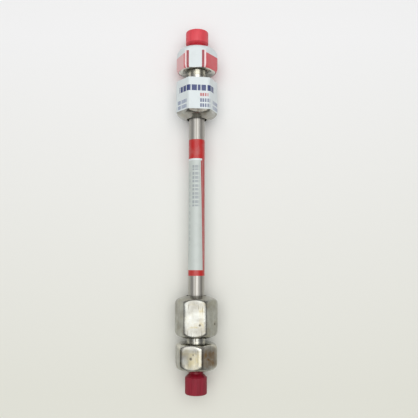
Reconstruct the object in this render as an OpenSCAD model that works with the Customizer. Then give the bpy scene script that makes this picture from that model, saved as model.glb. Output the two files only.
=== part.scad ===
// Packed steel column for liquid chromatography, lying on a bench.
// The tube's axis is the Y axis and its middle is the origin; the inlet end is at +Y and up is +Z.
// Each end has a hex nut on the tube, a pair of ferrules, a screw-in end fitting with a hex head
// and a plastic plug in its port. Each end is drawn upright, with z = 0 at the tube's end face
// and +z outwards, and is then laid along the axis.

/* [Tube] */
// Length of the tube, which is also the length of the packed bed
tube_length = 100; // [80:5:250]
// Outside diameter of the tube
tube_od = 6.35; // [6:0.05:6.6]
// Bore of the tube, filled by the packed bed
bed_d = 2.0; // [1:0.1:4]

/* [Hexes] */
// Width across the flats of nuts and end fittings
hex_af = 15; // [14.8:0.1:15.4]
// Diameter to which the hex corners are turned down
corner_d = 16.9; // [16.6:0.1:17.1]
// Radius of the turned shoulder between corner and shallow cone
shoulder_r = 2.4; // [2:0.1:2.6]
// Roll of the inlet nut about the column, in degrees
inlet_nut_roll = -7.1; // [-30:0.1:30]
// Roll of the inlet end fitting, in degrees
inlet_fitting_roll = 5; // [-30:0.1:30]
// Roll of the outlet nut, in degrees
outlet_nut_roll = 4.5; // [-30:0.1:30]
// Roll of the outlet end fitting, in degrees
outlet_fitting_roll = 16; // [-30:0.1:30]

/* [Nut] */
// Length of the nut
nut_length = 16.1; // [15.5:0.1:17]
// Slope of the shallow cones at the nut's ends, in degrees
nut_slope = 19; // [15:1:22]
// How far the nut reaches past the tube's end
nut_reach = 1.7; // [1.2:0.1:1.9]
// Diameter of the relief at the nut's tube side
nut_relief_d = 8.1; // [7.6:0.1:8.6]
// Depth of that relief
nut_relief_depth = 2; // [1:0.1:2.6]
// Diameter of the thread that joins nut and end fitting
thread_d = 9.5; // [9.4:0.05:9.8]

/* [End fitting] */
// Gap between the inlet nut's face and the face of its head
inlet_neck_gap = 3.1; // [2.6:0.1:3.6]
// Gap between the outlet nut's face and the face of its head
outlet_neck_gap = 1.8; // [1.4:0.1:2.4]
// Length of the hex head, over its dome
head_length = 10.9; // [10.2:0.1:12]
// Slope of the head's face towards the nut, in degrees
head_slope = 5; // [2:1:12]
// Radius of the dome at the head's outer end
dome_r = 3; // [2.6:0.1:3.4]
// Slope of the cone that closes the dome, in degrees
dome_slope = 15; // [10:1:20]
// Diameter of the neck between thread and head
neck_d = 7.2; // [6.8:0.1:7.8]
// Depth of the thread below the tube's end face
barrel_depth = 8.2; // [7.5:0.1:8.6]
// Bore that carries the liquid
flow_d = 0.5; // [0.3:0.1:0.8]
// Diameter of the port's thread
port_d = 4.8; // [4.6:0.1:5]
// Depth of the port's thread
port_depth = 6.8; // [6:0.1:7.2]

/* [Frits and ferrules] */
// Diameter of the sintered disc
frit_d = 4; // [3.4:0.1:4.4]
// Diameter of the ring round the disc
frit_ring_d = 5.4; // [5:0.1:5.6]
// Thickness of disc and ring
frit_t = 1.2; // [0.8:0.1:1.3]
// Thickness of the ferrules' wall at their widest
ferrule_wall = 0.925; // [0.8:0.025:1]
// Length of the back ferrule
back_ferrule_length = 1.4; // [1:0.1:1.6]
// Length of the front ferrule's cone
front_ferrule_length = 2.2; // [1.8:0.1:2.3]

/* [Plugs] */
// Diameter of the inlet plug's smooth head
inlet_plug_d = 9.4; // [8.6:0.1:9.8]
// Diameter of the outlet plug's ribbed head
outlet_plug_d = 8.5; // [8:0.1:9.4]
// Length of the inlet plug's head
inlet_plug_length = 6.6; // [6:0.1:8]
// Length of the outlet plug's head
outlet_plug_length = 7.9; // [7:0.1:9]
// Diameter of the collar under a plug's head
plug_collar_d = 5.5; // [5.3:0.1:5.8]
// Height of that collar above the end fitting
plug_collar_length = 0.7; // [0.5:0.1:1]
// Height of the sloping underside of a plug's head
plug_bevel = 1.5; // [1.2:0.1:1.7]
// Radius of the rounded edge at a plug's end
plug_edge_r = 0.6; // [0.3:0.1:0.8]
// Number of grooves round the ribbed head
plug_grooves = 40; // [24:2:48]
// Depth of each groove
plug_groove_depth = 0.14; // [0.08:0.02:0.2]

/* [Labels] */
// Length of the tube's label
tube_label_length = 54.7; // [40:0.1:60]
// Distance of that label's middle from the tube's middle, towards the inlet
tube_label_offset = -0.5; // [-2:0.1:2]
// Thickness of the tube's label
tube_label_t = 0.1; // [0.08:0.01:0.2]
// Thickness of the labels on the hexes
hex_label_t = 0.12; // [0.08:0.01:0.15]
// Bare metal left between the nut's tube side and its label
nut_label_start = 2.7; // [2.2:0.1:3]
// Length of the nut's label
nut_label_length = 13; // [12:0.1:13]
// Bare metal left below the end fitting's label
fitting_label_start = 0.7; // [0.5:0.1:2]
// Bare metal left above that label
fitting_label_end = 0.25; // [0.2:0.05:1]

/* [Clearances] */
// Clearance on the radius where one piece turns or slides in another
running_gap = 0.05; // [0.03:0.01:0.09]
// Clearance between faces of pieces that come apart
face_gap = 0.1; // [0.05:0.01:0.2]

/* [Hidden] */
$fn = 96;

steel = "#b9b6ae";
sintered_steel = "#8f8d88";
resin = "#ded8c4";
silica = "#f2f1ec";
paper = "#dfe6e7";
light_red = "#e05561";
dark_red = "#93283a";

tube_r = tube_od / 2;
corner_r = corner_d / 2;
thread_r = thread_d / 2;
port_r = port_d / 2;
ferrule_r = tube_r + ferrule_wall;
cut = 0.5;                                   // how far a cutting shape reaches past a face
chamfer = 0.5;                               // bevel at the mouth of a thread

// Stations along an end, from the tube's end face outwards
ferrule_lip = 0.5;                           // plain rim behind the front ferrule's cone
ferrule_taper = 0.5;                         // how far the back ferrule's wall thins
seat_depth = front_ferrule_length + 0.2;     // depth of the cone that the front ferrule sits in
ferrule_joint = -barrel_depth - ferrule_lip;
nut_back = nut_reach - nut_length;
nut_shoulder = ferrule_joint - back_ferrule_length - face_gap;
thread_end = nut_reach - 1.1;                // where the male thread runs out into the neck
inlet_face = nut_reach + inlet_neck_gap;     // faces of the heads, towards the nuts
outlet_face = nut_reach + outlet_neck_gap;

// Heights in a port and on its plug, from the head's outer end
port_cone = 1.3;                             // height of the cone below the port's thread
port_tip_r = 0.8;                            // radius of the tip of that cone
plug_under = face_gap + plug_collar_length;

// A turned hex end: shallow cone, then round shoulder up to the corner diameter
shoulder_in_r = corner_r - shoulder_r;
nut_back_rim_r = nut_relief_d / 2;
nut_front_rim_r = thread_r + 0.6;
head_rim_r = 4.2;

// The dome at the head's outer end: round shoulder, then shallow cone down to a flat rim
dome_in_r = corner_r - dome_r;
dome_cone_r = dome_in_r + dome_r * sin(dome_slope);
dome_shoulder_h = dome_r * cos(dome_slope);
dome_rim_r = 4.2;
dome_h = dome_shoulder_h + (dome_cone_r - dome_rim_r) * tan(dome_slope);

// Radius at which a cone of the given slope meets the shoulder
function cone_end_r(slope) = shoulder_in_r + shoulder_r * sin(slope);

// Height of that cone, whose rim has the given radius
function cone_height(slope, rim_r) = (cone_end_r(slope) - rim_r) * tan(slope);

module at_inlet() {
    translate([0, tube_length / 2, 0]) rotate([-90, 0, 0]) children();
}

module at_outlet() {
    translate([0, -tube_length / 2, 0]) rotate([90, 0, 0]) children();
}

module rod(r, from, to) {
    translate([0, 0, from]) cylinder(r = r, h = to - from);
}

module taper(r_from, r_to, from, to) {
    translate([0, 0, from]) cylinder(r1 = r_from, r2 = r_to, h = to - from);
}

module hexagon(across_flats, from, to) {
    translate([0, 0, from]) cylinder(r = across_flats / 2 / cos(30), h = to - from, $fn = 6);
}

// Section that is turned away at a hex end: everything outside the shallow cone and the shoulder
module end_waste(slope, rim_r, grow) {
    foot = cone_height(slope, rim_r);
    h = foot + shoulder_r * cos(slope);
    difference() {
        polygon([
            [rim_r, -cut],
            [corner_r + 1, -cut],
            [corner_r + 1, h],
            [shoulder_in_r, h],
            [cone_end_r(slope), foot],
            [rim_r, 0]
        ]);
        translate([shoulder_in_r, h]) circle(r = shoulder_r + grow);
    }
}

// Section that is turned away at the dome, whose rim is at height 0 and whose foot is below it
module dome_waste(grow) {
    side = grow * sin(dome_slope);
    rise = grow * cos(dome_slope);
    difference() {
        polygon([
            [dome_rim_r + side, cut + grow],
            [corner_r + 1, cut + grow],
            [corner_r + 1, -dome_h],
            [dome_in_r, -dome_h],
            [dome_cone_r + side, dome_shoulder_h + rise - dome_h],
            [dome_rim_r + side, rise]
        ]);
        translate([dome_in_r, -dome_h]) circle(r = dome_r + grow);
    }
}

// Solid form of the nut, rim of the tube side at height 0
module nut_form() {
    intersection() {
        hexagon(hex_af, 0, nut_length);
        rotate_extrude() difference() {
            square([corner_r, nut_length]);
            end_waste(nut_slope, nut_back_rim_r, 0);
            translate([0, nut_length]) mirror([0, 1]) end_waste(nut_slope, nut_front_rim_r, 0);
        }
    }
}

// Solid form of the end fitting's head, inner rim at height 0, with its outside moved out by grow
module head_form(grow) {
    intersection() {
        hexagon(hex_af + 2 * grow, 0, head_length + grow);
        rotate_extrude() difference() {
            square([corner_r + grow, head_length + grow]);
            end_waste(head_slope, head_rim_r, grow);
            translate([0, head_length]) dome_waste(grow);
        }
    }
}

module nut(roll) {
    difference() {
        translate([0, 0, nut_back]) rotate([0, 0, roll]) nut_form();
        rod(nut_back_rim_r, nut_back - cut, nut_back + nut_relief_depth);
        rod(tube_r + running_gap, nut_back, nut_reach);
        rod(thread_r + running_gap, nut_shoulder, nut_reach + cut);
        taper(thread_r + running_gap, thread_r + chamfer, nut_reach - chamfer, nut_reach);
    }
}

// End fitting whose head starts at the height given by face
module end_fitting(roll, face) {
    head_end = face + head_length;
    port_floor = head_end - port_depth;
    difference() {
        union() {
            rod(thread_r, -barrel_depth, thread_end);
            rod(neck_d / 2, thread_end, face + 1);
            translate([0, 0, face]) rotate([0, 0, roll]) head_form(0);
        }
        translate([0, 0, -barrel_depth]) ferrule_seat();
        rod(tube_r + running_gap, -barrel_depth, face_gap);
        rod(frit_ring_d / 2, 0, face_gap + frit_t);
        taper(bed_d / 2, flow_d / 2, face_gap + frit_t, face_gap + frit_t + bed_d / 4);
        rod(flow_d / 2, 0, head_end);
        taper(port_tip_r, port_r, port_floor, port_floor + port_cone);
        rod(port_r, port_floor + port_cone, head_end + cut);
        taper(port_r, port_r + chamfer, head_end - chamfer, head_end);
    }
}

// Cone in the end fitting's mouth, opening towards the nut
module ferrule_seat() {
    taper(ferrule_r + running_gap, tube_r + running_gap, 0, seat_depth);
    rod(ferrule_r + running_gap, -cut, 0);
}

module front_ferrule() {
    tip_r = tube_r + (ferrule_r - tube_r) * (1 - front_ferrule_length / seat_depth);
    difference() {
        union() {
            rod(ferrule_r, ferrule_joint, -barrel_depth);
            taper(ferrule_r, tip_r, -barrel_depth, -barrel_depth + front_ferrule_length);
        }
        rod(tube_r, ferrule_joint - cut, 0);
    }
}

module back_ferrule() {
    difference() {
        taper(ferrule_r, ferrule_r - ferrule_taper, ferrule_joint - back_ferrule_length, ferrule_joint);
        rod(tube_r, nut_back, 0);
    }
}

module frit() {
    rod(frit_d / 2, face_gap, face_gap + frit_t);
}

module frit_ring() {
    difference() {
        rod(frit_ring_d / 2, face_gap, face_gap + frit_t);
        rod(frit_d / 2, 0, face_gap + frit_t + cut);
    }
}

// Threaded stem, collar and head of a plug, with z = 0 at the outer end of the hex head
module plug(head_r, length) {
    collar_r = plug_collar_d / 2;
    stem_r = port_r - running_gap;
    nose_r = port_tip_r + 0.9;
    nose_foot = port_cone + face_gap - port_depth;
    taper(port_tip_r, nose_r, 0.5 - port_depth, nose_foot);
    taper(nose_r, stem_r, nose_foot, nose_foot + chamfer);
    rod(stem_r, nose_foot + chamfer, face_gap);
    rod(collar_r, face_gap, plug_under);
    taper(collar_r, head_r, plug_under, plug_under + plug_bevel);
    translate([0, 0, plug_under + plug_bevel]) rotate_extrude() {
        straight = length - plug_bevel - plug_edge_r;
        square([head_r, straight]);
        square([head_r - plug_edge_r, straight + plug_edge_r]);
        intersection() {
            translate([head_r - plug_edge_r, straight]) circle(r = plug_edge_r);
            translate([0, straight]) square([head_r, plug_edge_r]);
        }
    }
}

module column_tube() {
    color(steel) rotate([90, 0, 0]) difference() {
        cylinder(r = tube_r, h = tube_length, center = true);
        cylinder(r = bed_d / 2, h = tube_length + 2 * cut, center = true);
    }
}

module packed_bed() {
    color(silica) rotate([90, 0, 0]) cylinder(r = bed_d / 2, h = tube_length, center = true);
}

module tube_label() {
    color(paper) translate([0, tube_label_offset, 0]) rotate([90, 0, 0]) difference() {
        cylinder(r = tube_r + tube_label_t, h = tube_label_length, center = true);
        cylinder(r = tube_r, h = tube_label_length + 2 * cut, center = true);
    }
}

module inlet_back_ferrule() {
    color(steel) at_inlet() back_ferrule();
}

module inlet_front_ferrule() {
    color(steel) at_inlet() front_ferrule();
}

module outlet_back_ferrule() {
    color(steel) at_outlet() back_ferrule();
}

module outlet_front_ferrule() {
    color(steel) at_outlet() front_ferrule();
}

module inlet_nut() {
    color(steel) at_inlet() nut(-inlet_nut_roll);
}

// Paper band round the flats of the inlet nut, with its corners drawn over the hex's corners
module inlet_nut_label() {
    from = nut_back + nut_label_start;
    to = from + nut_label_length;
    color(paper) at_inlet() rotate([0, 0, -inlet_nut_roll]) difference() {
        intersection() {
            hexagon(hex_af + 2 * hex_label_t, from, to);
            rod(corner_r + hex_label_t, from, to);
        }
        intersection() {
            hexagon(hex_af, from - cut, to + cut);
            rod(corner_r, from - cut, to + cut);
        }
    }
}

module inlet_end_fitting() {
    color(steel) at_inlet() end_fitting(-inlet_fitting_roll, inlet_face);
}

// Paper drawn over the flats and the dome of the inlet end fitting's head
module inlet_fitting_label() {
    from = fitting_label_start;
    to = head_length - fitting_label_end;
    color(paper) at_inlet() translate([0, 0, inlet_face]) rotate([0, 0, -inlet_fitting_roll])
        intersection() {
            difference() {
                head_form(hex_label_t);
                head_form(0);
            }
            rod(corner_r + 1, from, to);
        }
}

module inlet_frit() {
    color(sintered_steel) at_inlet() frit();
}

module inlet_frit_ring() {
    color(resin) at_inlet() frit_ring();
}

module inlet_plug() {
    color(light_red) at_inlet() translate([0, 0, inlet_face + head_length])
        plug(inlet_plug_d / 2, inlet_plug_length);
}

module outlet_nut() {
    color(steel) at_outlet() nut(outlet_nut_roll);
}

module outlet_end_fitting() {
    color(steel) at_outlet() end_fitting(outlet_fitting_roll, outlet_face);
}

module outlet_frit() {
    color(sintered_steel) at_outlet() frit();
}

module outlet_frit_ring() {
    color(resin) at_outlet() frit_ring();
}

// The outlet plug's head has fine grooves all round
module outlet_plug() {
    head_r = outlet_plug_d / 2;
    groove_r = 2 * plug_groove_depth;
    color(dark_red) at_outlet() translate([0, 0, outlet_face + head_length]) difference() {
        plug(head_r, outlet_plug_length);
        for (turn = [0 : plug_grooves - 1])
            rotate([0, 0, turn * 360 / plug_grooves])
                translate([head_r + groove_r - plug_groove_depth, 0, 0])
                    rod(groove_r, plug_under, plug_under + outlet_plug_length + cut);
    }
}

column_tube();
packed_bed();
tube_label();
inlet_back_ferrule();
inlet_front_ferrule();
outlet_back_ferrule();
outlet_front_ferrule();
inlet_nut();
inlet_nut_label();
inlet_end_fitting();
inlet_frit();
inlet_frit_ring();
inlet_fitting_label();
inlet_plug();
outlet_nut();
outlet_end_fitting();
outlet_frit();
outlet_frit_ring();
outlet_plug();
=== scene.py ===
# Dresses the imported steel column: steels, printed paper, sintered discs and plastic plugs.
import math
from functools import partial

import bmesh
import bpy
from mathutils import Matrix


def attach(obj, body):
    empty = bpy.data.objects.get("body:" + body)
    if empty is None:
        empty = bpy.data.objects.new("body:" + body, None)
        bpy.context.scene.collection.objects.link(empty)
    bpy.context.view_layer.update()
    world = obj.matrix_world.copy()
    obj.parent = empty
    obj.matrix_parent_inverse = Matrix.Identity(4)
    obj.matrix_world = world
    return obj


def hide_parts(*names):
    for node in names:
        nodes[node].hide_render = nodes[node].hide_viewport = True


mm = 0.001
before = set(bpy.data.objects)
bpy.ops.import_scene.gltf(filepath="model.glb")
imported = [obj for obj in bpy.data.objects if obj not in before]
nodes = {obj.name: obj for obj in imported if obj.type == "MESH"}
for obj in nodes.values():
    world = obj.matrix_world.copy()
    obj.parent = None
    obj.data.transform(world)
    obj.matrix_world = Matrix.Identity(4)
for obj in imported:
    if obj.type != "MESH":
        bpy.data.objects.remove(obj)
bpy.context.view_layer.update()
print("column loaded:", len(nodes), "parts")


def hexColour(code):  # sRGB hex to the linear values that the shaders work in
    parts = [int(code[i : i + 2], 16) / 255 for i in (1, 3, 5)]
    return [c / 12.92 if c <= 0.04045 else ((c + 0.055) / 1.055) ** 2.4 for c in parts] + [1]


def firstOutput(node):  # a Mix node has one output for each kind of data, and shows only one
    return next(output for output in node.outputs if output.enabled)


def addNode(tree, kind, inputs=None, **settings):  # an input is a value, a socket, or a node for its first output
    node = tree.nodes.new("ShaderNode" + kind)
    for name, value in settings.items():
        setattr(node, name, value)
    for name, value in (inputs or {}).items():
        if isinstance(value, bpy.types.Node):
            value = firstOutput(value)
        if isinstance(value, bpy.types.NodeSocket):
            tree.links.new(value, node.inputs[name])
        else:
            node.inputs[name].default_value = value
    return node


def newMaterial(name, **surfaceValues):
    material = bpy.data.materials.new(name)
    material.use_nodes = True
    tree = material.node_tree
    tree.nodes.clear()
    surface = addNode(tree, "BsdfPrincipled")
    for socket, value in surfaceValues.items():
        surface.inputs[socket.replace("_", " ")].default_value = value
    addNode(tree, "OutputMaterial", {"Surface": surface})
    return material, partial(addNode, tree), surface


def connect(surface, **links):  # patterns into the shader's own sockets
    tree = surface.id_data
    for socket, node in links.items():
        tree.links.new(firstOutput(node), surface.inputs[socket.replace("_", " ")])


def millimetres(add, roll=0.0):  # object coordinates in mm, turned so that the hex's upper flat is level
    place = add("TexCoord").outputs["Object"]
    turn = (0, math.radians(roll), 0)
    return add("Mapping", {"Vector": place, "Scale": (1000, 1000, 1000), "Rotation": turn})


def aroundAxis(add, split, radius):  # distance round the column from its top line, in mm
    angle = add("Math", {0: split.outputs["X"], 1: split.outputs["Z"]}, operation="ARCTAN2")
    return add("Math", {0: angle, 1: radius}, operation="MULTIPLY")


def dress(material, *names):
    for name in names:
        data = nodes[name].data
        data.materials.clear()
        data.materials.append(material)


# The two ends, in mm and degrees; a face is the head's side towards its nut, from the tube's end.
columnEnds = {
    "inlet": {"side": 1, "nutRoll": -7.1, "headRoll": 5, "face": 4.8},
    "outlet": {"side": -1, "nutRoll": 4.5, "headRoll": 16, "face": 3.5},
}

# Screw threads: 24 to the inch on the barrels, 32 to the inch on the plug stems.
barrelThread = {
    "crest": 4.75,
    "root": 4.28,
    "pitch": 25.4 / 24,
    "crestWidth": 0.14,
    "rootWidth": 0.8,
    "steps": 40,
    "sink": 0.06,  # how deep the foot of the spiral sits in its stem
    "start": -8.2,  # from the tube's end face
    "end": 0.45,
}
plugThread = {
    "crest": 2.35,
    "root": 1.98,
    "pitch": 25.4 / 32,
    "crestWidth": 0.12,
    "rootWidth": 0.6,
    "steps": 32,
    "sink": 0.06,
    "start": -4.85,  # from the head's outer end
    "end": -0.4,
    "stemPast": (0.3, 0.6),  # how far the turned-down stem runs past the thread
}

# Forms of the hexes, in mm; stations run outwards from the tube's end face.
hexForm = {
    "tubeEnd": 50,
    "flat": 7.5,
    "corner": 8.45,
    "shoulder": 2.4,
    "dome": 3.0,
    "segments": 288,
    "arcSteps": 18,
    "edgeBlend": 0.42,  # how far a tumbled edge reaches to each side
    "paper": 0.12,
    "paperWall": 0.1,
}


def arcPoints(middle, station, radius, start, stop):  # angles in degrees, 0 points away from the axis
    steps = hexForm["arcSteps"]
    angles = [math.radians(start + (stop - start) * i / steps) for i in range(steps + 1)]
    return [(middle + radius * math.cos(a), station + radius * math.sin(a)) for a in angles]


def finishPiece(mesh, name, body, material, replaced=None, sharp=30):
    bmesh.ops.recalc_face_normals(mesh, faces=mesh.faces)
    for face in mesh.faces:
        face.smooth = True
    for edge in mesh.edges:
        edge.smooth = len(edge.link_faces) == 2 and edge.calc_face_angle() < math.radians(sharp)
    data = bpy.data.meshes.new(name)
    mesh.to_mesh(data)
    mesh.free()
    data.materials.append(material)
    piece = bpy.data.objects.new(name, data)
    bpy.context.collection.objects.link(piece)
    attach(piece, body)
    if replaced:
        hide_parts(replaced)


def radiusOf(point):  # distance from the column's axis
    return math.hypot(point.x, point.z)


def spinProfile(profile, closed=True):  # a lathe turn of points given as radius and station
    mesh = bmesh.new()
    tubeEnd = hexForm["tubeEnd"]
    corners = [mesh.verts.new((radius * mm, (tubeEnd + station) * mm, 0)) for radius, station in profile]
    count = len(corners) if closed else len(corners) - 1
    edges = [mesh.edges.new((corners[i], corners[(i + 1) % len(corners)])) for i in range(count)]
    bmesh.ops.spin(
        mesh, geom=corners + edges, cent=(0, 0, 0), axis=(0, 1, 0), dvec=(0, 0, 0), angle=2 * math.pi,
        steps=hexForm["segments"], use_merge=True, use_normal_flip=False, use_duplicate=False,
    )
    bmesh.ops.remove_doubles(mesh, verts=mesh.verts, dist=0.001 * mm)
    return mesh


def millFlats(mesh, flat):  # six flats cut into a turned form, their edges rounded as tumbling leaves them
    blend = hexForm["edgeBlend"]
    for vert in mesh.verts:
        radius = radiusOf(vert.co) / mm
        if radius < flat - 1:  # bores and threads lie well inside the flats
            continue
        angle = math.degrees(math.atan2(vert.co.z, vert.co.x)) % 60 - 30
        reach = flat / math.cos(math.radians(angle))
        overlap = max(blend - abs(radius - reach), 0)
        scale = (min(radius, reach) - overlap * overlap / (4 * blend)) / radius
        vert.co.x *= scale
        vert.co.z *= scale


def placeHex(mesh, roll, side):  # side is 1 at the inlet and -1 at the outlet
    turn = Matrix.Rotation(-math.radians(roll), 3, "Y")
    bmesh.ops.rotate(mesh, verts=mesh.verts, cent=(0, 0, 0), matrix=turn)
    if side < 0:
        bmesh.ops.scale(mesh, verts=mesh.verts, vec=(1, -1, 1))


def makeThread(mesh, shape, base, side):  # the spiral is cut square at both ends
    start, end = base + shape["start"], base + shape["end"]
    root, crest = (shape["root"] - shape["sink"]) * mm, shape["crest"] * mm
    wide, narrow = shape["rootWidth"] / 2 * mm, shape["crestWidth"] / 2 * mm
    low = (start - shape["pitch"]) * mm
    section = [(root, low - wide), (crest, low - narrow), (crest, low + narrow), (root, low + wide)]
    corners = [mesh.verts.new((x, y, 0)) for x, y in section]
    edges = [mesh.edges.new((corners[i], corners[(i + 1) % 4])) for i in range(4)]
    turns = (end - start) / shape["pitch"] + 2
    steps = int(turns * shape["steps"])
    rise = shape["pitch"] * mm * turns / steps
    bmesh.ops.spin(
        mesh, geom=corners + edges, cent=(0, 0, 0), axis=(0, 1, 0), dvec=(0, rise, 0), angle=2 * math.pi * turns,
        steps=steps, use_merge=False, use_normal_flip=False, use_duplicate=False,
    )
    for level, direction in ((start, -1), (end, 1)):
        everything = mesh.verts[:] + mesh.edges[:] + mesh.faces[:]
        place, normal = (0, level * mm, 0), (0, direction, 0)
        bmesh.ops.bisect_plane(mesh, geom=everything, dist=1e-8, plane_co=place, plane_no=normal, clear_outer=True)
        bmesh.ops.holes_fill(mesh, edges=[e for e in mesh.edges if e.is_boundary], sides=0)
    if side < 0:  # half a turn about the upright, so the thread stays right-handed
        bmesh.ops.rotate(mesh, verts=mesh.verts, cent=(0, 0, 0), matrix=Matrix.Rotation(math.pi, 3, "Z"))


# Stainless 316 tube, ground and polished along its length: fine axial lines, here drawn 0.2 mm apart so they show, a
# few broader bands, a dark line painted along its top as the dark middle of the light's reflection, and roughness
# between the two ends of "rough". Patterns are counted per mm.
tubeSteel = {
    "light": "#c0beb8",
    "dark": "#aba7a0",
    "line": "#6d675d",
    "lineShare": 0.6,
    # a dark line painted along the top of the tube, as the dark middle of the light's reflection
    "paintedDarkLine": (-0.22, 0.17, 0.6),  # one heavier line along the top: lateral place, half width, strength
    "finePattern": (5, 0.04, 5),
    "bandPattern": (1.15, 0.004, 1.15),
    "bandShift": (0.35, 0, 0.2),
    "cloudPattern": (0.5, 0.06, 0.5),
    "rough": (0.4, 0.5),
    "lineDepth": 0.03 * mm,
}


def polishedTube():
    steel = tubeSteel
    material, add, surface = newMaterial("polished stainless tube", Metallic=1.0)
    place = millimetres(add)
    split = add("SeparateXYZ", {"Vector": place})
    finePlace = add("Mapping", {"Vector": place, "Scale": steel["finePattern"]})
    fine = add("TexNoise", {"Vector": finePlace, "Scale": 1, "Detail": 3})
    bandPlace = add("Mapping", {"Vector": place, "Scale": steel["bandPattern"], "Location": steel["bandShift"]})
    bands = add("TexNoise", {"Vector": bandPlace, "Scale": 1.0, "Detail": 2})
    cloudPlace = add("Mapping", {"Vector": place, "Scale": steel["cloudPattern"]})
    clouds = add("TexNoise", {"Vector": cloudPlace, "Scale": 1})
    dark, light, line = (hexColour(steel[key]) for key in ("dark", "light", "line"))
    tint = add("Mix", {0: clouds, 6: dark, 7: light}, data_type="RGBA")
    share = add("MapRange", {"Value": bands, "From Min": 0.56, "From Max": 0.64, "To Max": steel["lineShare"]})
    # painted reflection: a dark line down the top of the tube, between the light's two highlights
    middle, width, strength = steel["paintedDarkLine"]
    offset = add("Math", {0: split.outputs["X"], 1: middle}, operation="SUBTRACT")
    away = add("Math", {0: offset}, operation="ABSOLUTE")
    paintedLine = add("MapRange", {"Value": away, "From Min": width * 1.4, "From Max": width * 0.6, "To Max": strength})
    upper = add("Math", {0: split.outputs["Z"], 1: 0.0}, operation="GREATER_THAN")
    paintedLine = add("Math", {0: paintedLine, 1: upper}, operation="MULTIPLY")
    share = add("Math", {0: share, 1: paintedLine}, operation="MAXIMUM")
    tint = add("Mix", {0: share, 6: tint, 7: line}, data_type="RGBA")
    low, high = steel["rough"]
    rough = add("MapRange", {"Value": fine, "From Min": 0.3, "From Max": 0.7, "To Min": low, "To Max": high})
    bump = add("Bump", {"Height": fine, "Strength": 0.2, "Distance": steel["lineDepth"]})
    connect(surface, Base_Color=tint, Roughness=rough, Normal=bump)
    return material


# Stainless 316 hex bar: cold-drawn flats with lengthwise lines, lathe-turned shoulders and cones with fine rings,
# tumbled edges, a few scratches and pits, brown tarnish in patches. Lines are drawn about 0.3 mm apart so they show.
hexSteel = {
    "light": "#b9bab4",
    "dark": "#95938b",
    # Besides real stains, tarnish and scratches, some of these colours paint light, shade and reflections in the
    # marks on the fittings and the inlet nut: the two pale cream tints are painted light only, while the
    # yellow-brown, brown and dark grey colours also paint shade and reflections in a few marks.
    "stainAndPaintedShade": "#998a5c",
    "tarnish": "#8a6430",
    "paintedStrawLight": "#c9bd92",
    "paintedLight": "#e6e3d8",
    "scratchAndPaintedShade": "#5b564e",
    "linePattern": (3, 0.1, 3),  # patterns are counted per mm
    "ringPattern": 4.5,
    "cloudPattern": 0.22,
    "patchPattern": 0.4,
    "scorePattern": (2.6, 0.16, 2.6),
    "scoreScale": 1.7,
    "wavePattern": 0.16,
    "pitSpacing": 7.0,
    "flatEdge": (0.12, 0.03),  # how far inside the flat the milled look fades in
    "turnedRough": (0.14, 0.24),
    "flatRough": (0.26, 0.34),
    "lineDepth": 0.04 * mm,
    "waveHeight": 30.0,  # against the lines' height of 1
    "wornHeight": -2.0,
    "wornRough": 0.25,  # what scores and pits add to the roughness
}


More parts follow.
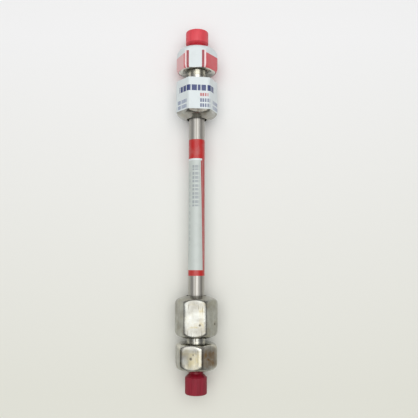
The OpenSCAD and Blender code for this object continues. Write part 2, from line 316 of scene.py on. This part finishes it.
def machinedHex(name, roll=0.0, tarnish=0.35, polish=0.0, marks=()):
    steel = hexSteel
    colours = {key: hexColour(code) for key, code in steel.items() if isinstance(code, str)}
    material, add, surface = newMaterial(name, Metallic=1.0)
    place = millimetres(add, roll)
    split = add("SeparateXYZ", {"Vector": place})
    across = add("VectorMath", {0: place, 1: (1, 0, 1)}, operation="MULTIPLY")
    radius = add("VectorMath", {0: across}, operation="LENGTH")
    reach = 0.0
    for turn in (0, 60, 120):  # the distance to the nearest pair of flats tells milled from turned
        normal = (math.sin(math.radians(turn)), 0, math.cos(math.radians(turn)))
        along = add("VectorMath", {0: place, 1: normal}, operation="DOT_PRODUCT")
        along = add("Math", {0: along}, operation="ABSOLUTE")
        reach = add("Math", {0: along, 1: reach}, operation="MAXIMUM")
    outer, inner = (hexForm["flat"] - depth for depth in steel["flatEdge"])
    onFlat = add("MapRange", {"Value": reach, "From Min": outer, "From Max": inner})
    linePlace = add("Mapping", {"Vector": place, "Scale": steel["linePattern"]})
    drawn = add("TexNoise", {"Vector": linePlace, "Scale": 1, "Detail": 5})
    ringPlace = add("CombineXYZ", {"X": radius, "Y": split.outputs["Y"]})
    rings = add("TexNoise", {"Vector": ringPlace, "Scale": steel["ringPattern"], "Detail": 3})
    lines = add("Mix", {0: onFlat, 2: rings, 3: drawn})

    # cloudy steel, then tarnish in patches
    clouds = add("TexNoise", {"Vector": place, "Scale": steel["cloudPattern"], "Detail": 5, "Roughness": 0.6})
    clear = add("MapRange", {"Value": clouds, "From Min": 0.35, "From Max": 0.65})
    tint = add("Mix", {0: clear, 6: colours["dark"], 7: colours["light"]}, data_type="RGBA")
    patchLook = {"Scale": steel["patchPattern"], "Detail": 6, "Roughness": 0.65, "Distortion": 0.6}
    patches = add("TexNoise", {"Vector": place, **patchLook})
    stained = add("MapRange", {"Value": patches, "From Min": 0.5, "From Max": 0.72, "To Max": tarnish})
    tint = add("Mix", {0: stained, 6: tint, 7: colours["stainAndPaintedShade"]}, data_type="RGBA")

    # marks on the upper side of this hex: scratches, rubs and tarnish, and painted light, shade and reflections,
    # each a soft rectangle broken by the patches
    broken = add("MapRange", {"Value": patches, "From Min": 0.35, "From Max": 0.6, "To Min": 0.3})
    for x, y, width, length, colour, share in marks:
        mask = add("MapRange", {"Value": split.outputs["Z"], "From Min": 0.0, "From Max": 0.5, "To Max": share})
        for along, middle, half in ((split.outputs["X"], x, width), (split.outputs["Y"], y, length)):
            offset = add("Math", {0: along, 1: middle}, operation="SUBTRACT")
            away = add("Math", {0: offset}, operation="ABSOLUTE")
            soft = add("MapRange", {"Value": away, "From Min": half * 1.25, "From Max": half * 0.5})
            mask = add("Math", {0: mask, 1: soft}, operation="MULTIPLY")
        mask = add("Math", {0: mask, 1: broken}, operation="MULTIPLY")
        tint = add("Mix", {0: mask, 6: tint, 7: colours[colour]}, data_type="RGBA")

    # random scores and pits, dark, dull and sunk
    scorePlace = add("Mapping", {"Vector": place, "Scale": steel["scorePattern"]})
    scores = add("TexNoise", {"Vector": scorePlace, "Scale": steel["scoreScale"]})
    scored = add("MapRange", {"Value": scores, "From Min": 0.69, "From Max": 0.75, "To Max": 0.5})
    pits = add("TexVoronoi", {"Vector": place, "Scale": 1 / steel["pitSpacing"], "Randomness": 1.0})
    pitted = add("MapRange", {"Value": pits, "From Min": 0.09, "From Max": 0.05, "To Max": 0.8})
    worn = add("Math", {0: scored, 1: pitted}, operation="MAXIMUM")
    tint = add("Mix", {0: worn, 6: tint, 7: colours["scratchAndPaintedShade"]}, data_type="RGBA")

    low, high = steel["turnedRough"]
    turned = add("MapRange", {"Value": rings, "From Min": 0.3, "From Max": 0.7, "To Min": low, "To Max": high})
    low, high = steel["flatRough"]
    milled = add("MapRange", {"Value": drawn, "From Min": 0.3, "From Max": 0.7, "To Min": low, "To Max": high})
    rough = add("Mix", {0: onFlat, 2: turned, 3: milled})
    rough = add("Math", {0: rough, 1: 1 - polish}, operation="MULTIPLY")
    rough = add("Math", {0: worn, 1: steel["wornRough"], 2: rough}, operation="MULTIPLY_ADD")
    sunk = add("Math", {0: worn, 1: steel["wornHeight"], 2: lines}, operation="MULTIPLY_ADD")
    waves = add("TexNoise", {"Vector": place, "Scale": steel["wavePattern"], "Detail": 1})
    sunk = add("Math", {0: waves, 1: steel["waveHeight"], 2: sunk}, operation="MULTIPLY_ADD")  # no flat is flat
    bump = add("Bump", {"Height": sunk, "Strength": 0.35, "Distance": steel["lineDepth"]})
    connect(surface, Base_Color=tint, Roughness=rough, Normal=bump)
    return material


# Coated paper labels, printed and laid on by hand: smooth satin coat, faint fibres, ink a little uneven.
ink = {
    "white": "#dfe7e8",
    "red": "#bd1613",
    "faded": "#d64f57",
    "darkRed": "#a1303c",
    "stripRed": "#b0201f",
    "pink": "#f6dede",
    "navy": "#2b3a75",
    "blue": "#717ea3",
    "print": "#8b939a",
}
paperLook = {
    "dust": "#a9aca6",
    "fibre": "#8f9796",
    "fibrePattern": 3.2,  # per mm
    "smudgePattern": 0.3,
    "rough": (0.3, 0.42),
    "fibreDepth": 0.03 * mm,
}


def printLayer(add, base, colour, across, along, share=1.0, pattern=None):  # one printed rectangle
    (a, low, high), (b, start, end) = across, along
    wide = add("Math", {0: a, 1: (low + high) / 2, 2: (high - low) / 2}, operation="COMPARE")
    tall = add("Math", {0: b, 1: (start + end) / 2, 2: (end - start) / 2}, operation="COMPARE")
    mask = add("Math", {0: wide, 1: tall}, operation="MULTIPLY")
    if pattern:
        mask = add("Math", {0: mask, 1: pattern}, operation="MULTIPLY")
    mask = add("Math", {0: mask, 1: share}, operation="MULTIPLY")
    return add("Mix", {0: mask, 6: base, 7: hexColour(ink[colour])}, data_type="RGBA")


def barRow(add, value, pitch, fill, wander, drift=0.9):  # a row of printed bars, not all the same width
    walk = add("Math", {0: value, 1: wander}, operation="MULTIPLY")
    uneven = add("TexNoise", {"W": walk, "Scale": 1.0}, noise_dimensions="1D")
    steps = add("Math", {0: value, 1: pitch}, operation="DIVIDE")
    moved = add("Math", {0: uneven, 1: drift, 2: steps}, operation="MULTIPLY_ADD")
    phase = add("Math", {0: moved}, operation="FRACT")
    return add("Math", {0: phase, 1: fill}, operation="LESS_THAN")


def paperFinish(add, surface, place, tint, dust=0.12):
    look = paperLook
    fibres = add("TexNoise", {"Vector": place, "Scale": look["fibrePattern"], "Detail": 6, "Roughness": 0.6})
    smudges = add("TexNoise", {"Vector": place, "Scale": look["smudgePattern"], "Detail": 4})
    dull = add("MapRange", {"Value": smudges, "From Min": 0.45, "From Max": 0.75, "To Max": dust})
    tint = add("Mix", {0: dull, 6: tint, 7: hexColour(look["dust"])}, data_type="RGBA")
    faint = add("MapRange", {"Value": fibres, "From Min": 0.3, "From Max": 0.7, "To Max": 0.06})
    tint = add("Mix", {0: faint, 6: tint, 7: hexColour(look["fibre"])}, data_type="RGBA")
    low, high = look["rough"]
    rough = add("MapRange", {"Value": fibres, "From Min": 0.3, "From Max": 0.7, "To Min": low, "To Max": high})
    bump = add("Bump", {"Height": fibres, "Strength": 0.25, "Distance": look["fibreDepth"]})
    connect(surface, Base_Color=tint, Roughness=rough, Normal=bump)


# In mm: distances round the tube count from its top line, lengths from the tube's middle.
tubePrint = {
    "paper": "#c8cfca",
    "radius": 3.275,
    "dust": 0.2,
    "allRound": (-11.0, 11.0),
    "allLength": (-30.0, 30.0),
    "header": (18.95, 30.0),
    "endBand": (-30.0, -25.65),
    "whiteLine": {"round": (-11.0, 2.3), "length": (18.2, 18.95)},
    "strip": (2.2, 4.9),
    "stripSlant": 0.024,
    "stripLine": {"round": (2.75, 2.95), "length": (-22.0, 30.0), "share": 0.45},
    "bars": {"round": (-1.75, 1.05), "length": (-0.8, 16.2), "share": 0.7},
    "barTicks": (1.62, 0.7, 0.9),  # pitch, filled share and wander of a row of bars
    "barColumns": (1.45, 0.82, 0.0),
    "dashes": {"round": (-3.3, -2.95), "length": (-16.0, 14.0), "share": 0.6},
    "dashTicks": (2.6, 0.55, 0.4),
}


def tubeLabelPaper():
    p = tubePrint
    material, add, surface = newMaterial("coated paper of the tube label", Coat_Weight=0.12, Coat_Roughness=0.15)
    place = millimetres(add)
    split = add("SeparateXYZ", {"Vector": place})
    arc = aroundAxis(add, split, p["radius"])
    y = split.outputs["Y"]
    slanted = add("Math", {0: y, 1: p["stripSlant"], 2: arc}, operation="MULTIPLY_ADD")
    tint = hexColour(p["paper"])
    ticks = barRow(add, y, *p["barTicks"])
    columns = barRow(add, arc, *p["barColumns"])
    marks = add("Math", {0: ticks, 1: columns}, operation="MULTIPLY")
    dashes = barRow(add, y, *p["dashTicks"])
    for part, pattern in ((p["bars"], marks), (p["dashes"], dashes)):
        tint = printLayer(add, tint, "print", (arc, *part["round"]), (y, *part["length"]), part["share"], pattern)
    tint = printLayer(add, tint, "stripRed", (slanted, *p["strip"]), (y, *p["allLength"]))
    line = p["stripLine"]
    tint = printLayer(add, tint, "pink", (slanted, *line["round"]), (y, *line["length"]), line["share"])
    tint = printLayer(add, tint, "red", (arc, *p["allRound"]), (y, *p["header"]))
    line = p["whiteLine"]
    tint = printLayer(add, tint, "white", (arc, *line["round"]), (y, *line["length"]))
    tint = printLayer(add, tint, "red", (arc, *p["allRound"]), (y, *p["endBand"]))
    paperFinish(add, surface, place, tint, p["dust"])
    return material


# In mm: distances round the hex count from its upper flat's middle, lengths from the tube's middle.
nutPrint = {
    "reach": (-11.7, 1.3),  # the paper's ends, from the tube's end
    "words": {"round": (-9.5, 7.5), "length": (45.7, 48.1)},
    "redBar": {"round": (0.1, 3.4), "length": (43.4, 44.7)},
    "rows": ((41.0, 42.5), (38.9, 40.4)),
    "rowMiddle": (0.1, 4.1),
    "rowSides": ((-10.5, -4.6), (6.0, 11.5), (14.0, 22.0), (-22.0, -13.0)),
    "blocks": (2.0, 0.82, 0.3),  # pitch, filled share and wander
    "letters": (0.85, 0.66, 1.1),
}


def nutLabelPaper():
    p = nutPrint
    material, add, surface = newMaterial("coated paper of the nut label", Coat_Weight=0.2, Coat_Roughness=0.2)
    place = millimetres(add, columnEnds["inlet"]["nutRoll"])
    split = add("SeparateXYZ", {"Vector": place})
    arc = aroundAxis(add, split, hexForm["flat"])
    y = split.outputs["Y"]
    blocks = barRow(add, arc, *p["blocks"])
    letters = barRow(add, arc, *p["letters"])
    words, redBar = p["words"], p["redBar"]
    tint = hexColour(ink["white"])
    tint = printLayer(add, tint, "navy", (arc, *words["round"]), (y, *words["length"]), 1.0, blocks)
    tint = printLayer(add, tint, "red", (arc, *redBar["round"]), (y, *redBar["length"]), 0.85, letters)
    for row in p["rows"]:
        tint = printLayer(add, tint, "navy", (arc, *p["rowMiddle"]), (y, *row), 0.85, letters)
        for side in p["rowSides"]:
            tint = printLayer(add, tint, "blue", (arc, *side), (y, *row), 0.9, letters)
    paperFinish(add, surface, place, tint)
    return material


# A white panel between stripes that run along the column, red fields beyond them.
headPrint = {
    "panel": 2.5,
    "darkStripe": 3.35,
    "pinkStripe": 4.0,
    "fieldEdge": 24.0,
    "base": 50.0,
    "fieldTop": 61.6,
    "frameTop": 62.6,
    "worn": (-12.0, -4.6),
    "wrapStart": -48,  # where on the shoulder's arc the paper starts, in degrees
    "rim": (5.6, 0.25),  # radius of the paper's outer end, and how far it stays inside the head
}


def fittingLabelPaper():
    p = headPrint
    material, add, surface = newMaterial("coated paper of the fitting label", Coat_Weight=0.2, Coat_Roughness=0.2)
    place = millimetres(add, columnEnds["inlet"]["headRoll"])
    split = add("SeparateXYZ", {"Vector": place})
    turned = aroundAxis(add, split, hexForm["flat"])
    arc = add("Math", {0: turned}, operation="ABSOLUTE")
    y = split.outputs["Y"]
    field, frameSpan = (y, p["base"], p["fieldTop"]), (y, p["base"], p["frameTop"])
    tint = hexColour(ink["white"])
    tint = printLayer(add, tint, "faded", (arc, p["panel"], p["fieldEdge"]), field)
    tint = printLayer(add, tint, "pink", (arc, p["panel"], p["pinkStripe"]), frameSpan)
    tint = printLayer(add, tint, "darkRed", (arc, p["panel"], p["darkStripe"]), frameSpan)
    tint = printLayer(add, tint, "pink", (turned, *p["worn"]), field, 0.5)
    paperFinish(add, surface, place, tint)
    return material


# Polypropylene, injection moulded: satin skin with a fine spark-eroded grain, worn pale along the rims.
plugPlastic = {
    "inlet": {"colour": "#e2404c", "deep": "#d22f3d", "dusty": "#ea7a80"},
    "outlet": {"colour": "#8a0a22", "deep": "#740517", "dusty": "#9c2a40"},
    "grainPattern": 5.0,  # per mm
    "flowPattern": (0.9, 0.12, 0.9),
    "rough": (0.34, 0.5),
    "grainDepth": 0.04 * mm,
}


def mouldedPlastic(name, colour, deep, dusty):
    look = plugPlastic
    material, add, surface = newMaterial(
        name, Subsurface_Weight=0.08, Subsurface_Radius=(0.0012, 0.0004, 0.0003), Subsurface_Scale=1.0, IOR=1.49,
        Specular_IOR_Level=0.35,
    )
    place = millimetres(add)
    grain = add("TexNoise", {"Vector": place, "Scale": look["grainPattern"], "Detail": 5, "Roughness": 0.6})
    flowPlace = add("Mapping", {"Vector": place, "Scale": look["flowPattern"]})
    flow = add("TexNoise", {"Vector": flowPlace, "Scale": 1.0, "Detail": 3})
    mixed = add("MapRange", {"Value": flow, "From Min": 0.35, "From Max": 0.65})
    tint = add("Mix", {0: mixed, 6: hexColour(deep), 7: hexColour(colour)}, data_type="RGBA")
    rims = add("NewGeometry").outputs["Pointiness"]
    worn = add("MapRange", {"Value": rims, "From Min": 0.51, "From Max": 0.56, "To Max": 0.35})
    tint = add("Mix", {0: worn, 6: tint, 7: hexColour(dusty)}, data_type="RGBA")
    low, high = look["rough"]
    rough = add("MapRange", {"Value": grain, "From Min": 0.3, "From Max": 0.7, "To Min": low, "To Max": high})
    bump = add("Bump", {"Height": grain, "Strength": 0.35, "Distance": look["grainDepth"]})
    connect(surface, Base_Color=tint, Roughness=rough, Normal=bump)
    return material


# Grainy solids: stainless powder sintered into a disc, silica packed from slurry, machined natural PEEK resin.
sinteredFrit = {
    "light": "#8f8d88", "dark": "#4c4a46", "grain": 0.12, "metallic": 1.0, "roughness": 0.55, "depth": 0.06 * mm
}
silicaBed = {
    "light": "#f2f1ec", "dark": "#d9d6cc", "grain": 0.1, "metallic": 0.0, "roughness": 0.9, "depth": 0.04 * mm
}
sealResin = {
    "light": "#ded8c4", "dark": "#c9c0a4", "grain": 0.5, "metallic": 0.0, "roughness": 0.42, "depth": 0.01 * mm
}


def grainySolid(name, look):
    material, add, surface = newMaterial(name, Metallic=look["metallic"], Roughness=look["roughness"])
    place = millimetres(add)
    cells = add("TexVoronoi", {"Vector": place, "Scale": 1 / look["grain"], "Randomness": 1.0})
    mottled = add("TexNoise", {"Vector": place, "Scale": 0.5 / look["grain"], "Detail": 4})
    shade = add("Math", {0: cells, 1: mottled}, operation="MULTIPLY")
    share = add("MapRange", {"Value": shade, "From Min": 0.05, "From Max": 0.45})
    tint = add("Mix", {0: share, 6: hexColour(look["light"]), 7: hexColour(look["dark"])}, data_type="RGBA")
    bump = add("Bump", {"Height": cells, "Strength": 0.6, "Distance": look["depth"]})
    connect(surface, Base_Color=tint, Normal=bump)
    return material


# The nut, in mm and degrees: cones at both ends, a plain bore at the thread's size, and a relief behind its inner
# shoulder.
nutForm = {
    "back": -14.4,
    "front": 1.7,
    "slope": 19,
    "frontRim": 5.35,
    "threadMouth": 5.25,
    "thread": 4.8,
    "threadStart": 1.2,
    "threadEnd": -10.2,
    "tubeHole": 3.225,
    "relief": 4.05,
    "reliefEnd": -12.4,
}


def nutProfile():
    n, shoulder = nutForm, hexForm["shoulder"]
    slope = math.radians(n["slope"])
    middle = hexForm["corner"] - shoulder
    cone = middle + shoulder * math.sin(slope)
    rise = shoulder * math.cos(slope)
    backMiddle = n["back"] + (cone - n["relief"]) * math.tan(slope) + rise
    frontMiddle = n["front"] - (cone - n["frontRim"]) * math.tan(slope) - rise
    outside = arcPoints(middle, backMiddle, shoulder, n["slope"] - 90, 0)
    outside += arcPoints(middle, frontMiddle, shoulder, 0, 90 - n["slope"])
    inside = [
        (n["frontRim"], n["front"]),
        (n["threadMouth"], n["front"]),
        (n["thread"], n["threadStart"]),
        (n["thread"], n["threadEnd"]),
        (n["tubeHole"], n["threadEnd"]),
        (n["tubeHole"], n["reliefEnd"]),
        (n["relief"], n["reliefEnd"]),
    ]
    return [(n["relief"], n["back"])] + outside + inside


# The end fitting, in mm and degrees: barrel, neck and head outside, ferrule seat, socket, frit and port inside.
headForm = {
    "length": 10.9,
    "rim": 4.2,
    "slope": 5,
    "domeSlope": 15,
    "neck": 3.6,
    "neckStart": 0.6,
    "barrelEnd": -8.2,
    "seatMouth": 4.15,
    "seatStart": -5.8,
    "socket": 3.225,
    "socketEnd": 0.1,
    "fritRing": 2.7,
    "fritTop": 1.3,
    "flowCone": (1.0, 1.8),  # radius of its wide end and station of its tip
    "flow": 0.25,
    "portMouth": 2.9,
    "port": 2.4,
    "portBevel": 0.5,
    "portThread": 5.5,
    "portDepth": 6.8,
    "portTip": 0.8,
}


def headArcs(face, grow, start=headForm["slope"] - 90):  # shoulder towards the nut, then the dome
    h, shoulder, dome = headForm, hexForm["shoulder"], hexForm["dome"]
    slope, domeSlope = math.radians(h["slope"]), math.radians(h["domeSlope"])
    middle = hexForm["corner"] - shoulder
    cone = middle + shoulder * math.sin(slope)
    station = face + (cone - h["rim"]) * math.tan(slope) + shoulder * math.cos(slope)
    domeMiddle = hexForm["corner"] - dome
    domeCone = domeMiddle + dome * math.sin(domeSlope)
    domeStation = face + h["length"] - (domeCone - h["rim"]) * math.tan(domeSlope) - dome * math.cos(domeSlope)
    arcs = arcPoints(middle, station, shoulder + grow, start, 0)
    return arcs + arcPoints(domeMiddle, domeStation, dome + grow, 0, 90 - h["domeSlope"])


def fittingProfile(face):
    h, root = headForm, barrelThread["root"]
    end = face + h["length"]
    coneWide, coneTip = h["flowCone"]
    barrel = [
        (h["socket"], h["socketEnd"]),
        (h["socket"], h["seatStart"]),
        (h["seatMouth"], h["barrelEnd"]),
        (root, h["barrelEnd"]),
        (root, h["neckStart"]),
        (h["neck"], h["neckStart"]),
        (h["neck"], face),
        (h["rim"], face),
    ]
    port = [
        (h["rim"], end),
        (h["portMouth"], end),
        (h["port"], end - h["portBevel"]),
        (h["port"], end - h["portThread"]),
        (h["portTip"], end - h["portDepth"]),
        (h["flow"], end - h["portDepth"]),
    ]
    stack = [
        (h["flow"], coneTip),
        (coneWide, h["fritTop"]),
        (h["fritRing"], h["fritTop"]),
        (h["fritRing"], h["socketEnd"]),
    ]
    return barrel + headArcs(face, 0) + port + stack


def makeNut(end, material):
    name, place = end + "_nut", columnEnds[end]
    mesh = spinProfile(nutProfile())
    millFlats(mesh, hexForm["flat"])
    placeHex(mesh, place["nutRoll"], place["side"])
    finishPiece(mesh, name + "_turned", name, material, name)


def makeFitting(end, material):
    body, place = end + "_fitting", columnEnds[end]
    mesh = spinProfile(fittingProfile(place["face"]))
    millFlats(mesh, hexForm["flat"])
    placeHex(mesh, place["headRoll"], place["side"])
    finishPiece(mesh, end + "_end_fitting_turned", body, material, end + "_end_fitting")
    thread = bmesh.new()
    makeThread(thread, barrelThread, hexForm["tubeEnd"], place["side"])
    finishPiece(thread, end + "_barrel_thread", body, material, sharp=20)


def makePlug(end, material):  # the stem is turned down to the root of its thread
    node, side, shape = end + "_plug", columnEnds[end]["side"], plugThread
    headEnd = hexForm["tubeEnd"] + columnEnds[end]["face"] + headForm["length"]
    mesh = bmesh.new()
    mesh.from_mesh(nodes[node].data)
    bmesh.ops.remove_doubles(mesh, verts=mesh.verts, dist=0.002 * mm)
    before, after = shape["stemPast"]
    low, high = (headEnd + shape["start"] - before) * mm, (headEnd + shape["end"] + after) * mm
    crest, near = shape["crest"] * mm, 0.02 * mm
    stem = [v for v in mesh.verts if low < v.co.y * side < high and abs(radiusOf(v.co) - crest) < near]
    shrink = shape["root"] / shape["crest"]
    bmesh.ops.scale(mesh, verts=stem, vec=(shrink, 1, shrink))
    finishPiece(mesh, node + "_moulded", node, material, node)
    thread = bmesh.new()
    makeThread(thread, shape, headEnd, side)
    finishPiece(thread, node + "_thread", node, material, sharp=20)


def makeHexLabel(node, body, roll, profile, material):  # paper wrapped round the flats, folded over the corners
    mesh = spinProfile(profile, closed=False)
    millFlats(mesh, hexForm["flat"] + hexForm["paper"])
    bmesh.ops.recalc_face_normals(mesh, faces=mesh.faces)
    bmesh.ops.solidify(mesh, geom=mesh.faces[:], thickness=hexForm["paperWall"] * mm)
    placeHex(mesh, roll, columnEnds["inlet"]["side"])
    finishPiece(mesh, node + "_wrapped", body, material, node)


# Wear, and painted light, shade and reflections, on the upper sides: lateral place, station, half width, half
# length, colour and strength.
wearAndPaintedLight = {
    "inletNut": (
        # painted shade: two broad dark patches on the bare flat just under the label's edge
        (-0.4, 37.7, 4.6, 1.3, "scratchAndPaintedShade", 0.9),
        (-1.6, 38.1, 2.6, 0.7, "scratchAndPaintedShade", 0.9),
    ),
    "inletFitting": (
        # painted light: the neck and the head's face towards the nut are lightened
        (0.0, 53.0, 9.0, 3.0, "paintedLight", 0.45),
        (0.0, 55.7, 9.0, 1.5, "paintedLight", 1.0),
        # painted reflection: a dark line down the neck between its two highlights
        (-0.45, 53.0, 0.35, 1.9, "scratchAndPaintedShade", 0.7),
    ),
    "outletNut": (
        (-2.3, -39.6, 0.12, 1.3, "scratchAndPaintedShade", 0.9),
        (1.4, -39.6, 0.1, 0.9, "scratchAndPaintedShade", 0.8),
        (3.0, -40.5, 0.12, 1.9, "scratchAndPaintedShade", 0.9),
        (-2.7, -49.3, 0.12, 0.9, "scratchAndPaintedShade", 0.9),
        (-1.1, -49.7, 0.1, 0.6, "scratchAndPaintedShade", 0.7),
        (2.7, -49.5, 0.12, 1.1, "scratchAndPaintedShade", 0.9),
        (-0.2, -47.2, 1.4, 0.35, "stainAndPaintedShade", 0.5),
        (2.6, -43.5, 1.0, 4.6, "stainAndPaintedShade", 0.45),
        (3.7, -43.5, 0.2, 6.0, "scratchAndPaintedShade", 0.6),
    ),
    "outletFitting": (
        # painted reflection: two overlapping dark lines down the neck between its two highlights
        (0.7, -52.6, 0.28, 1.1, "scratchAndPaintedShade", 1.0),
        (0.75, -52.6, 0.2, 1.1, "scratchAndPaintedShade", 0.9),
        # painted light on the head's face towards the nut
        (0.0, -54.3, 9.0, 1.2, "paintedLight", 0.9),
        # painted reflection and light: brown over the side face at positive lateral places, a cream patch on the
        # upper flat towards the dome, and a darker grey-brown patch towards the nut at negative lateral places as
        # painted shade
        (6.4, -58.8, 2.0, 3.4, "tarnish", 0.9),
        (1.2, -59.6, 3.2, 3.4, "paintedStrawLight", 0.6),
        (-2.4, -56.6, 1.8, 1.6, "stainAndPaintedShade", 0.3),
        (1.0, -57.4, 0.3, 0.35, "scratchAndPaintedShade", 0.9),
        (-3.9, -59.0, 0.35, 5.0, "scratchAndPaintedShade", 0.6),
        (4.35, -58.8, 0.45, 4.6, "scratchAndPaintedShade", 0.75),
    ),
}


def hexFinish(end, part, rollKey, **look):
    roll = columnEnds[end][rollKey]
    return machinedHex(f"turned stainless {end} {part}", roll, marks=wearAndPaintedLight[end + part.capitalize()], **look)


inlet, outlet = columnEnds["inlet"], columnEnds["outlet"]
dress(polishedTube(), "column_tube")
dress(tubeLabelPaper(), "tube_label")
print("tube and its label dressed")

makeNut("inlet", hexFinish("inlet", "nut", "nutRoll"))
makeNut("outlet", hexFinish("outlet", "nut", "nutRoll"))
makeFitting("inlet", hexFinish("inlet", "fitting", "headRoll", tarnish=0.15, polish=0.15))
makeFitting("outlet", hexFinish("outlet", "fitting", "headRoll", tarnish=0.45))
print("nuts and end fittings turned")

ferruleNames = [f"{end}_{kind}_ferrule" for end in columnEnds for kind in ("front", "back")]
dress(machinedHex("turned stainless ferrule", polish=0.2), *ferruleNames)
dress(grainySolid("sintered stainless frit", sinteredFrit), "inlet_frit", "outlet_frit")
dress(grainySolid("packed silica", silicaBed), "packed_bed")
dress(grainySolid("natural resin seal", sealResin), "inlet_frit_ring", "outlet_frit_ring")
print("ferrules, frits and bed dressed")

makePlug("inlet", mouldedPlastic("light red polypropylene", **plugPlastic["inlet"]))
makePlug("outlet", mouldedPlastic("dark red polypropylene", **plugPlastic["outlet"]))
print("plugs moulded")

straight = hexForm["corner"] + hexForm["paper"]
sleeve = [(straight, station) for station in nutPrint["reach"]]
makeHexLabel("inlet_nut_label", "inlet_nut", inlet["nutRoll"], sleeve, nutLabelPaper())
rimRadius, rimInset = headPrint["rim"]
hood = headArcs(inlet["face"], hexForm["paper"], headPrint["wrapStart"])
hood.append((rimRadius, inlet["face"] + headForm["length"] - rimInset))
makeHexLabel("inlet_fitting_label", "inlet_fitting", inlet["headRoll"], hood, fittingLabelPaper())
print("labels wrapped")

# A pale table under one large softbox; lengths in metres.
studio = {
    "floorLevel": -8.28 * mm,
    "floorSize": 12.0,
    # painted shade: the table is tinted darker towards its near end, where less light falls
    "floorNearShaded": "#e2e2d8",
    "floorFar": "#f3f3f3",
    "floorReach": 75,  # the tint runs from this far before the column's middle to as far behind it, in mm
    "cameraPlace": (0, -0.0242, 0.2192),
    "cameraTilt": 7.29,
    "cameraRoll": 0.19,
    "sensorWidth": 36,
    "focalPixels": 546.7,
    "framePixels": 418,
    "axisAt": (196.6, 196.5),
    "softboxPlace": (0, 0.02, 0.6),
    "softboxSize": 0.7,
    "softboxWatts": 2.64,
    "sky": (  # height, 0 at the horizon and 1 straight up, and colour
        (0.0, "#bcbcbc"),
        (0.1, "#9c9c9c"),
        (0.25, "#8c8c8c"),
        (0.5, "#868686"),
        (0.72, "#cbcbcb"),
        (1.0, "#d6d6d6"),
    ),
}


def makeFloor():
    mesh = bmesh.new()
    bmesh.ops.create_grid(mesh, x_segments=1, y_segments=1, size=studio["floorSize"] / 2)
    bmesh.ops.translate(mesh, verts=mesh.verts, vec=(0, 0, studio["floorLevel"]))
    data = bpy.data.meshes.new("table")
    mesh.to_mesh(data)
    mesh.free()
    table = bpy.data.objects.new("table", data)
    bpy.context.collection.objects.link(table)
    material, add, surface = newMaterial("matt white laminate", Roughness=0.6, Specular_IOR_Level=0.2)
    y = add("SeparateXYZ", {"Vector": millimetres(add)}).outputs["Y"]
    reach = studio["floorReach"]
    # painted shade: darker towards the near end of the table
    along = add("MapRange", {"Value": y, "From Min": -reach, "From Max": reach})
    near, far = hexColour(studio["floorNearShaded"]), hexColour(studio["floorFar"])
    connect(surface, Base_Color=add("Mix", {0: along, 6: near, 7: far}, data_type="RGBA"))
    data.materials.append(material)


def makeLight():
    lamp = bpy.data.lights.new("softbox", "AREA")
    lamp.shape = "SQUARE"
    lamp.size = studio["softboxSize"]
    lamp.energy = studio["softboxWatts"]
    holder = bpy.data.objects.new("softbox", lamp)
    holder.location = studio["softboxPlace"]
    bpy.context.collection.objects.link(holder)
    world = bpy.data.worlds.new("studio")
    world.use_nodes = True
    world.node_tree.nodes.clear()
    add = partial(addNode, world.node_tree)
    height = add("SeparateXYZ", {"Vector": add("TexCoord").outputs["Generated"]}).outputs["Z"]
    tint = add("ValToRGB", {"Fac": height})  # pale at the horizon, dim at the walls, bright overhead
    bands = tint.color_ramp.elements
    while len(bands) < len(studio["sky"]):
        bands.new(0.5)
    for band, (level, colour) in zip(bands, studio["sky"]):
        band.position = level
        band.color = hexColour(colour)
    add("OutputWorld", {"Surface": add("Background", {"Color": tint, "Strength": 1.0})})
    bpy.context.scene.world = world


def makeCamera():  # axisAt is the pixel that the lens axis meets
    lens = bpy.data.cameras.new("camera")
    pixels, (axisX, axisY) = studio["framePixels"], studio["axisAt"]
    lens.sensor_width = studio["sensorWidth"]
    lens.lens = studio["focalPixels"] / pixels * studio["sensorWidth"]
    lens.shift_x = (pixels / 2 - axisX) / pixels
    lens.shift_y = (axisY - pixels / 2) / pixels
    lens.clip_start = 0.01
    camera = bpy.data.objects.new("camera", lens)
    camera.location = studio["cameraPlace"]
    turn = Matrix.Rotation(math.radians(studio["cameraTilt"]), 4, "X")
    turn = turn @ Matrix.Rotation(math.radians(studio["cameraRoll"]), 4, "Z")
    camera.rotation_euler = turn.to_euler()
    bpy.context.collection.objects.link(camera)
    bpy.context.scene.camera = camera


makeFloor()
makeLight()
makeCamera()
bpy.context.scene.view_settings.view_transform = "Standard"
print("table, light and camera in place")
